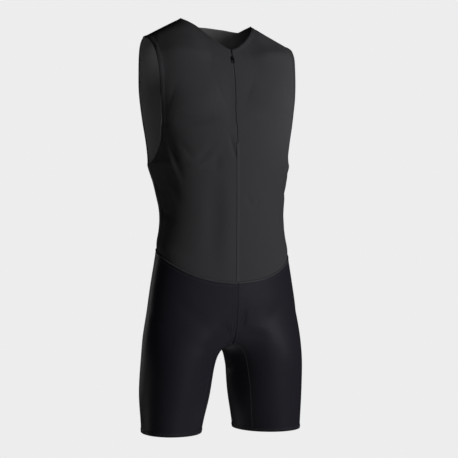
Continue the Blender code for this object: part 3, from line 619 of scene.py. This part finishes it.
def knit_group():
    """Wales and courses of a fine knit: a height and a tone, from a place in metres."""
    if "Fine knit" in bpy.data.node_groups:
        return bpy.data.node_groups["Fine knit"]
    tree = bpy.data.node_groups.new("Fine knit", "ShaderNodeTree")
    face = tree.interface
    face.new_socket("Place", in_out="INPUT", socket_type="NodeSocketVector")
    face.new_socket("Wales per metre", in_out="INPUT", socket_type="NodeSocketFloat")
    face.new_socket("Courses per metre", in_out="INPUT", socket_type="NodeSocketFloat")
    face.new_socket("Height", in_out="OUTPUT", socket_type="NodeSocketFloat")
    face.new_socket("Tone", in_out="OUTPUT", socket_type="NodeSocketFloat")
    nodes, links = tree.nodes, tree.links
    inside = nodes.new("NodeGroupInput")
    outside = nodes.new("NodeGroupOutput")
    split = nodes.new("ShaderNodeSeparateXYZ")
    links.new(inside.outputs["Place"], split.inputs[0])

    def math_node(operation, first, second=None):
        node = nodes.new("ShaderNodeMath")
        node.operation = operation
        for socket, value in zip(node.inputs, (first, second)):
            if value is None:
                continue
            if isinstance(value, (int, float)):
                socket.default_value = value
            else:
                links.new(value, socket)
        return node.outputs[0]

    wales = math_node("MULTIPLY", split.outputs["X"], inside.outputs["Wales per metre"])
    wave = math_node("PINGPONG", wales, 0.5)
    rounded = math_node("SINE", math_node("MULTIPLY", wave, math.pi))
    slant = math_node("MULTIPLY", wave, 1.3)
    courses = math_node("MULTIPLY", split.outputs["Y"], inside.outputs["Courses per metre"])
    courses = math_node("ADD", courses, slant)
    loops = math_node("SINE", math_node("MULTIPLY", courses, math.tau))
    loops = math_node("MULTIPLY_ADD", loops, 0.5)
    height = math_node("ADD", math_node("MULTIPLY", rounded, 0.7), math_node("MULTIPLY", loops, 0.3))
    links.new(height, outside.inputs["Height"])
    noise = nodes.new("ShaderNodeTexNoise")
    noise.inputs["Scale"].default_value = 420.0
    noise.inputs["Detail"].default_value = 2.0
    links.new(inside.outputs["Place"], noise.inputs["Vector"])
    links.new(noise.outputs["Fac"], outside.inputs["Tone"])
    return tree


def finish_surface(parts, colour, tone, mottle, height, strength, distance):
    """Gives a shader its colour, lighter and darker with the tone, and a fine relief."""
    _, nodes, links, shader = parts
    span = nodes.new("ShaderNodeMapRange")
    span.inputs["To Min"].default_value = 1 - mottle
    span.inputs["To Max"].default_value = 1 + mottle
    links.new(tone, span.inputs["Value"])
    tint = nodes.new("ShaderNodeVectorMath")
    tint.operation = "SCALE"
    tint.inputs[0].default_value = colour
    links.new(span.outputs["Result"], tint.inputs["Scale"])
    links.new(tint.outputs["Vector"], shader.inputs["Base Color"])
    relief = nodes.new("ShaderNodeBump")
    relief.inputs["Strength"].default_value = strength
    relief.inputs["Distance"].default_value = distance
    links.new(height, relief.inputs["Height"])
    links.new(relief.outputs["Normal"], shader.inputs["Normal"])


def knit_material(name, colour, knit):
    parts = new_material(name)
    material, nodes, links, shader = parts
    uv = nodes.new("ShaderNodeUVMap")
    uv.uv_map = "cloth"
    loops = nodes.new("ShaderNodeGroup")
    loops.node_tree = knit_group()
    loops.inputs["Wales per metre"].default_value = knit.wales
    loops.inputs["Courses per metre"].default_value = knit.courses
    links.new(uv.outputs["UV"], loops.inputs["Place"])
    tone, height = loops.outputs["Tone"], loops.outputs["Height"]
    finish_surface(parts, colour, tone, knit.mottle, height, knit.bump, 0.0003)
    shader.inputs["Roughness"].default_value = knit.roughness
    shader.inputs["Specular IOR Level"].default_value = knit.specular
    return material


def plain_material(name, colour, roughness, metallic=0.0, grain=900.0, depth=0.00005):
    """Thread, tape or metal: one colour with fine unevenness."""
    parts = new_material(name)
    material, nodes, links, shader = parts
    place = nodes.new("ShaderNodeTexCoord")
    noise = nodes.new("ShaderNodeTexNoise")
    noise.inputs["Scale"].default_value = grain
    links.new(place.outputs["Object"], noise.inputs["Vector"])
    finish_surface(parts, colour, noise.outputs["Fac"], 0.2, noise.outputs["Fac"], 0.4, depth)
    shader.inputs["Roughness"].default_value = roughness
    shader.inputs["Metallic"].default_value = metallic
    shader.inputs["Specular IOR Level"].default_value = 0.5 if metallic else 0.15
    return material


def materials():
    """All the materials by part, made once."""
    if "materials" not in MADE:
        colours = bpy.context.scene.bodysuit_colours
        MADE["materials"] = {
            "top": knit_material("top_knit_matt", colours.top, KNITS["top"]),
            "shorts": knit_material("shorts_knit_glossy", colours.shorts, KNITS["shorts"]),
            # The inner walls of the top get the lighter colour that paints light on the inside of the back.
            "inside": knit_material("top_knit_inside_painted_light", colours.inside, KNITS["inside"]),
            "top_seam": plain_material("top_seam_knit", colours.top, 0.8),
            "shorts_seam": plain_material("shorts_seam_knit", colours.seam, 0.55),
            "groove": plain_material("shorts_groove_knit", colours.shorts, 0.6),
            "waist": plain_material("waist_seam_thread", colours.binding, 0.7),
            "thread": plain_material("sewing_thread", colours.thread, 0.6),
            "tape": plain_material("zip_tape_weave", colours.thread, 0.8),
            "metal": plain_material("blackened_metal", colours.metal, 0.35, 1.0, 300.0, 0.00002),
        }
    return MADE["materials"]


# ---------------------------------------------------------------- cloth co-ordinates
def add_cloth_uv(obj, leg_side):
    """Metres round the form and metres up it, so a knit keeps its size and runs up the panel."""
    mesh = obj.data
    places = places_of(mesh)
    if leg_side:
        centre_x, centre_y, radius = leg_side * LEG_X, -0.004, 0.080
        low = np.clip((-0.56 - places[:, 2]) / 0.16, 0.0, 1.0)
        centre_x = centre_x * low
        radius = 0.150 + (radius - 0.150) * low
    else:
        centre_x, centre_y, radius = 0.0, 0.0, 0.150
    turn = np.pi if obj.name.endswith("back") else 0.0
    angles = np.arctan2(places[:, 0] - centre_x, -(places[:, 1] - centre_y))
    angles = (angles - turn + np.pi) % (2 * np.pi) - np.pi
    over = np.clip((places[:, 2] + 0.16) / 0.10, 0.0, 1.0)
    forward = -1.0 if turn else 1.0
    up = places[:, 2] + over * forward * (places[:, 1] + forward * 0.09)
    layer = mesh.uv_layers.new(name="cloth")
    corners = read_all(mesh.loops, "vertex_index", 1, np.int32)
    totals = read_all(mesh.polygons, "loop_total", 1, np.int32)
    starts = read_all(mesh.polygons, "loop_start", 1, np.int32)
    at_corner = angles[corners]
    first = np.repeat(at_corner[starts], totals)
    at_corner = at_corner - np.round((at_corner - first) / (2 * np.pi)) * 2 * np.pi
    round_it = at_corner * (radius[corners] if leg_side else radius)
    uv = np.column_stack([round_it, up[corners]]).astype(np.float32)
    layer.data.foreach_set("uv", uv.ravel())


# ---------------------------------------------------------------- operators
class BODYSUIT_OT_panels(bpy.types.Operator):
    """Makes the five cloth panels with their creases and doubled hems"""
    bl_idname = "bodysuit.panels"
    bl_label = "Cloth panels"

    def execute(self, context):
        sizes = context.scene.bodysuit_cloth
        panels = {name: make_panel(name, sizes.levels) for name in TOP_PANELS + LEG_PANELS}
        runs = cut_runs(panels)
        for name, obj in panels.items():
            self.dress(name, obj, runs, sizes)
        MADE["panels"] = panels
        MADE["runs"] = cut_runs(panels)
        MADE["trees"] = {name: BVHTree.FromPolygons([v.co for v in obj.data.vertices],
                                                    [tuple(p.vertices) for p in obj.data.polygons
                                                     if p.material_index == OUTER])
                         for name, obj in panels.items()}
        for name, obj in panels.items():
            self.declare(name, obj)
        return {"FINISHED"}

    def dress(self, name, obj, runs, sizes):
        mesh = obj.data
        places = places_of(mesh)
        out = wall_normals(mesh)
        borders = [edge.place for owner, label, edges, _ in runs for edge in edges
                   if owner == name and label in ("neck", "armhole", "hem")]
        tree = kdtree.KDTree(len(borders))
        for index, place in enumerate(borders):
            tree.insert(place, index)
        tree.balance()
        from_edge = np.array([tree.find(place)[2] for place in places])
        moved = -crease_depths(places, out, CREASES)
        outside = np.zeros(len(mesh.vertices), dtype=bool)
        for polygon in mesh.polygons:
            if polygon.material_index == OUTER:
                outside[list(polygon.vertices)] = True
        slope = 0.0016
        doubled = smooth_step((sizes.hem_width - from_edge) / slope + 0.5)
        moved += np.where(outside, doubled * sizes.hem_rise, 0.0)
        places += out * moved[:, None]
        mesh.vertices.foreach_set("co", places.ravel())
        mesh.update()
        side = {"leg_right": -1, "leg_left": 1}.get(name, 0)
        add_cloth_uv(obj, side)
        knit = materials()["shorts" if side else "top"]
        if not mesh.materials:
            mesh.materials.append(knit)
        mesh.materials[0] = knit
        mesh.materials.append(knit if side else materials()["inside"])
        mesh.materials.append(knit)
        for polygon in mesh.polygons:
            polygon.use_smooth = True

    def declare(self, name, obj):
        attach(obj, "suit")
        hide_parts(name)


class BODYSUIT_OT_seams(bpy.types.Operator):
    """Lays the sewn seams over the joins between the panels"""
    bl_idname = "bodysuit.seams"
    bl_label = "Seams"

    def execute(self, context):
        sizes = context.scene.bodysuit_sewing
        trees = MADE["trees"]
        ridges = {part: bmesh.new() for part in ("top_seam", "shorts_seam", "waist", "groove")}
        threads = bmesh.new()
        for name, label, edges, closed in MADE["runs"]:
            if name not in SEAM_OWNERS.get(label, ()):
                continue
            line = even_stops(line_from(edges, -0.00015, None, closed), 0.004, closed)
            part = {"waist": "waist", "centre": "groove"}.get(label, "top_seam")
            sweep(ridges[part], ridge_profile(*RIDGES[label]), line, closed)
            if label == "waist":
                lower = line_from(edges, WAIST_ROW, trees[name], closed)
                add_stitches(threads, lower, sizes, 0.0001)
            elif label == "centre":
                for offset in CENTRE_ROWS:
                    row = [Stop(s.place + s.side * offset, s.normal, s.along, s.side) for s in line]
                    row = laid_on(row, [trees["leg_left"], trees["leg_right"]])
                    sweep(ridges["shorts_seam"], ridge_profile(*RIDGES["centre_row"]), row)
                    add_stitches(threads, row, sizes, 0.0004)
        for side in (-1, 1):
            path = even_stops(inside_leg_line(side), 0.003)
            sweep(ridges["shorts_seam"], ridge_profile(*RIDGES["inside_leg"]), path)
        pieces = [new_piece("seams_" + part, bm, materials()[part]) for part, bm in ridges.items()]
        pieces.append(new_piece("seam_threads", threads, materials()["thread"]))
        for piece in pieces:
            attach(piece, "suit")
        return {"FINISHED"}


def laid_on(stops, trees):
    """Moves each stop onto the nearest cloth."""
    result = []
    for stop in stops:
        found = [tree.find_nearest(stop.place, 0.01) for tree in trees]
        found = [hit for hit in found if hit[0] is not None]
        if not found:
            result.append(stop)
            continue
        hit = min(found, key=lambda item: item[3])
        normal = hit[1] if hit[1].dot(stop.normal) > 0 else stop.normal
        result.append(Stop(hit[0], normal.normalized(), stop.along, stop.side))
    places = [stop.place for stop in result]
    normals = [stop.normal for stop in result]
    for _ in range(2):
        normals = [n.normalized() for n in softened(normals, False)]
    return stops_on(places, normals, False)


# The inside-leg seam of each leg, from the crotch to the hem: height, and how far from the middle.
INSIDE_LEG = {
    -1: [(-0.682, 0.003), (-0.684, 0.014), (-0.690, 0.028), (-0.701, 0.040), (-0.720, 0.047),
         (-0.755, 0.053), (-0.786, 0.057), (-0.819, 0.062), (-0.866, 0.068)],
    1: [(-0.682, 0.003), (-0.684, 0.008), (-0.690, 0.018), (-0.702, 0.030), (-0.720, 0.037),
        (-0.761, 0.045), (-0.796, 0.050), (-0.845, 0.057), (-0.869, 0.061)],
}


def inside_leg_line(side):
    """The inside-leg seam, from the crotch down to the hem, found on the leg from in front."""
    tree = MADE["trees"]["leg_right" if side < 0 else "leg_left"]
    spots = INSIDE_LEG[side]
    places, normals = [], []
    for (high, across), (low, next_across) in zip(spots, spots[1:]):
        for share in np.arange(8) / 8:
            x = side * (across + (next_across - across) * share)
            z = high + (low - high) * share
            hit = tree.ray_cast(Vector((x, -0.3, z)), Vector((0.0, 1.0, 0.0)), 0.4)
            if hit[0] is not None and hit[0].y < 0.0:
                places.append(hit[0])
                normals.append(hit[1])
    for _ in range(6):
        places = softened(places, False)
        normals = [n.normalized() for n in softened(normals, False)]
    return laid_on(stops_on(places, normals, False), [tree])


class BODYSUIT_OT_hems(bpy.types.Operator):
    """Sews the turned hems of the neck, the armholes and the legs"""
    bl_idname = "bodysuit.hems"
    bl_label = "Hems"

    def execute(self, context):
        sizes = context.scene.bodysuit_sewing
        width = context.scene.bodysuit_cloth.hem_width
        threads = bmesh.new()
        for name, label, edges, closed in MADE["runs"]:
            if label not in ("neck", "armhole", "hem"):
                continue
            for short_by in HEM_ROWS:
                row = line_from(edges, width - short_by, MADE["trees"][name], closed)
                add_stitches(threads, row, sizes, 0.0001, closed)
        thread = new_piece("hem_threads", threads, materials()["thread"])
        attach(thread, "suit")
        return {"FINISHED"}


class BODYSUIT_OT_zip(bpy.types.Operator):
    """Makes the zip's two tapes with their coils"""
    bl_idname = "bodysuit.zip"
    bl_label = "Zip"

    def execute(self, context):
        for side, name in ((-1, "zip_tape_right"), (1, "zip_tape_left")):
            bm = bmesh.new()
            bm.from_mesh(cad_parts[name].data)
            bmesh.ops.remove_doubles(bm, verts=bm.verts, dist=1e-6)
            piece = new_piece("cloth_" + name, bm, materials()["tape"], recalculate=False)
            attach(piece, "suit")
            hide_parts(name)
        coil = bmesh.new()
        edges = [run for run in MADE["runs"] if run[1] == "zip" and run[0] == "front_left"]
        line = line_from(max((run[2] for run in edges), key=len), 0.0)
        if line[0].place.z < line[-1].place.z:
            line = stops_on([s.place for s in line][::-1], [s.normal for s in line][::-1], False)
        size = Matrix.Diagonal((*TOOTH_SIZE, 1.0))
        for index, stop in enumerate(even_stops(line, TOOTH_PITCH)):
            across = TOOTH_ASIDE if stop.place.z < SLIDER_Z else abs(stop.place.x)
            side = 1 if index % 2 else -1
            centre = Vector((side * across, stop.place.y, stop.place.z)) - stop.normal * TOOTH_DEPTH
            place = Matrix.Translation(centre)
            bmesh.ops.create_icosphere(coil, subdivisions=1, radius=1.0, matrix=place @ size)
        piece = new_piece("zip_coil", coil, materials()["tape"])
        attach(piece, "suit")
        return {"FINISHED"}


BROAD_FACE = 0.000015      # faces of the metal parts over this area get a sunk panel
# The body that each metal part belongs to, its rounded edge, its rim and how deep its panel is sunk.
METAL_PARTS = {
    "zip_slider": ("suit", 0.00022, 0.00035, 0.00018),
    "zip_pull": ("pull", 0.00018, 0.00042, 0.00016),
}


class BODYSUIT_OT_slider(bpy.types.Operator):
    """Finishes the zip's slider and pull"""
    bl_idname = "bodysuit.slider"
    bl_label = "Slider and pull"

    def execute(self, context):
        for name, settings in METAL_PARTS.items():
            self.finish_metal(name, *settings)
        return {"FINISHED"}

    def finish_metal(self, name, body, edge, rim, sink):
        """The CAD part again with rounded edges and a sunk panel in its broad faces."""
        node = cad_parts[name]
        bm = bmesh.new()
        bm.from_mesh(node.data)
        bmesh.ops.remove_doubles(bm, verts=bm.verts, dist=1e-6)
        bmesh.ops.dissolve_limit(bm, angle_limit=math.radians(2), verts=bm.verts, edges=bm.edges)
        broad = [face for face in bm.faces if face.calc_area() > BROAD_FACE and abs(face.normal.y) > 0.8]
        bmesh.ops.inset_individual(bm, faces=broad, thickness=rim, depth=-sink)
        sharp = [e for e in bm.edges if e.is_manifold and e.calc_face_angle(0.0) > math.radians(40)
                 and e.calc_length() > 2 * edge]
        bmesh.ops.bevel(bm, geom=sharp, offset=edge * 0.6, offset_type="OFFSET", segments=2, profile=0.6,
                        affect="EDGES", clamp_overlap=True)
        piece = new_piece("metal_" + name, bm, materials()["metal"], smooth=False)
        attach(piece, body)
        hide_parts(name)


class BODYSUIT_OT_stage(bpy.types.Operator):
    """Sets up the floor, the light and the camera"""
    bl_idname = "bodysuit.stage"
    bl_label = "Stage"

    def execute(self, context):
        scene = context.scene
        scene.view_settings.view_transform = "Standard"
        world = bpy.data.worlds.new("studio")
        world.use_nodes = True
        scene.world = world
        nodes, links = world.node_tree.nodes, world.node_tree.links
        nodes.clear()
        output = nodes.new("ShaderNodeOutputWorld")
        seen = nodes.new("ShaderNodeBackground")
        seen.inputs["Color"].default_value = (0.847, 0.847, 0.855, 1.0)
        lit = nodes.new("ShaderNodeBackground")
        lit.inputs["Strength"].default_value = 0.01
        path = nodes.new("ShaderNodeLightPath")
        mix = nodes.new("ShaderNodeMixShader")
        links.new(path.outputs["Is Camera Ray"], mix.inputs["Fac"])
        links.new(lit.outputs["Background"], mix.inputs[1])
        links.new(seen.outputs["Background"], mix.inputs[2])
        links.new(mix.outputs["Shader"], output.inputs["Surface"])

        bm = bmesh.new()
        bmesh.ops.create_circle(bm, cap_ends=True, segments=96, radius=1.2)
        bmesh.ops.translate(bm, verts=bm.verts, vec=(0.0, 0.0, FLOOR_Z))
        floor_paint, _, _, shader = new_material("pale_floor")
        shader.inputs["Base Color"].default_value = (0.8, 0.8, 0.81, 1.0)
        shader.inputs["Roughness"].default_value = 0.9
        floor = new_piece("floor", bm, floor_paint, smooth=False)

        for name, (around, height, power) in LIGHTS.items():
            self.light(name, math.radians(CAMERA_TURN + around), math.radians(height), power)
        for name, settings in SPOTS.items():
            self.spot(name, *settings)

        turn = math.radians(CAMERA_TURN)
        look = Vector((-math.sin(turn), math.cos(turn), 0.0))
        data = bpy.data.cameras.new("camera")
        camera = bpy.data.objects.new("camera", data)
        scene.collection.objects.link(camera)
        camera.location = Vector((0.0, 0.0, CAMERA_Z)) - look * CAMERA_DISTANCE
        camera.rotation_euler = (math.pi / 2, 0.0, turn)
        data.sensor_width = 36.0
        data.lens = 80.41
        data.shift_x = 0.02096
        data.shift_y = 0.0131
        scene.camera = camera
        return {"FINISHED"}

    def light(self, name, around, rise, power):
        """An area light, at an angle round the suit from its front and an angle up."""
        way = Vector((math.sin(around) * math.cos(rise), -math.cos(around) * math.cos(rise), math.sin(rise)))
        data = bpy.data.lights.new(name, "AREA")
        data.shape = "RECTANGLE"
        data.size, data.size_y = LIGHT_SIZE
        data.energy = power
        light = bpy.data.objects.new(name, data)
        bpy.context.scene.collection.objects.link(light)
        light.location = LIGHT_AIM + way * LIGHT_DISTANCE
        light.rotation_euler = (math.pi / 2 - rise, 0.0, around)
        light.visible_camera = False

    def spot(self, name, place, aim, cone, power):
        """A narrow light that shines in through an opening onto the inside of the back."""
        data = bpy.data.lights.new(name, "SPOT")
        data.spot_size = math.radians(cone)
        data.spot_blend = 0.8
        data.shadow_soft_size = 0.05
        data.energy = power
        light = bpy.data.objects.new(name, data)
        bpy.context.scene.collection.objects.link(light)
        light.location = place
        light.rotation_euler = (Vector(aim) - Vector(place)).to_track_quat("-Z", "Y").to_euler()


class BODYSUIT_PT_sidebar(bpy.types.Panel):
    bl_label = "Bodysuit"
    bl_idname = "BODYSUIT_PT_sidebar"
    bl_space_type = "VIEW_3D"
    bl_region_type = "UI"
    bl_category = "Bodysuit"

    def draw(self, context):
        for group in ("bodysuit_cloth", "bodysuit_sewing", "bodysuit_colours"):
            values = getattr(context.scene, group)
            box = self.layout.box()
            for name in values.bl_rna.properties.keys():
                if name not in ("rna_type", "name"):
                    box.prop(values, name)
        for operator in OPERATORS:
            self.layout.operator(operator.bl_idname)


OPERATORS = (BODYSUIT_OT_panels, BODYSUIT_OT_seams, BODYSUIT_OT_hems, BODYSUIT_OT_zip, BODYSUIT_OT_slider,
             BODYSUIT_OT_stage)
GROUPS = {"bodysuit_cloth": ClothSizes, "bodysuit_sewing": SewingSizes, "bodysuit_colours": Colours}


def register():
    for group in GROUPS.values():
        bpy.utils.register_class(group)
    for name, group in GROUPS.items():
        setattr(bpy.types.Scene, name, PointerProperty(type=group))
    for operator in OPERATORS:
        bpy.utils.register_class(operator)
    bpy.utils.register_class(BODYSUIT_PT_sidebar)


def unregister():
    bpy.utils.unregister_class(BODYSUIT_PT_sidebar)
    for operator in reversed(OPERATORS):
        bpy.utils.unregister_class(operator)
    for name, group in GROUPS.items():
        delattr(bpy.types.Scene, name)
        bpy.utils.unregister_class(group)


def main():
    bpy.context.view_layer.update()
    register()
    bpy.ops.bodysuit.panels()
    bpy.ops.bodysuit.seams()
    bpy.ops.bodysuit.hems()
    bpy.ops.bodysuit.zip()
    bpy.ops.bodysuit.slider()
    bpy.ops.bodysuit.stage()


if __name__ == "__main__":
    main()
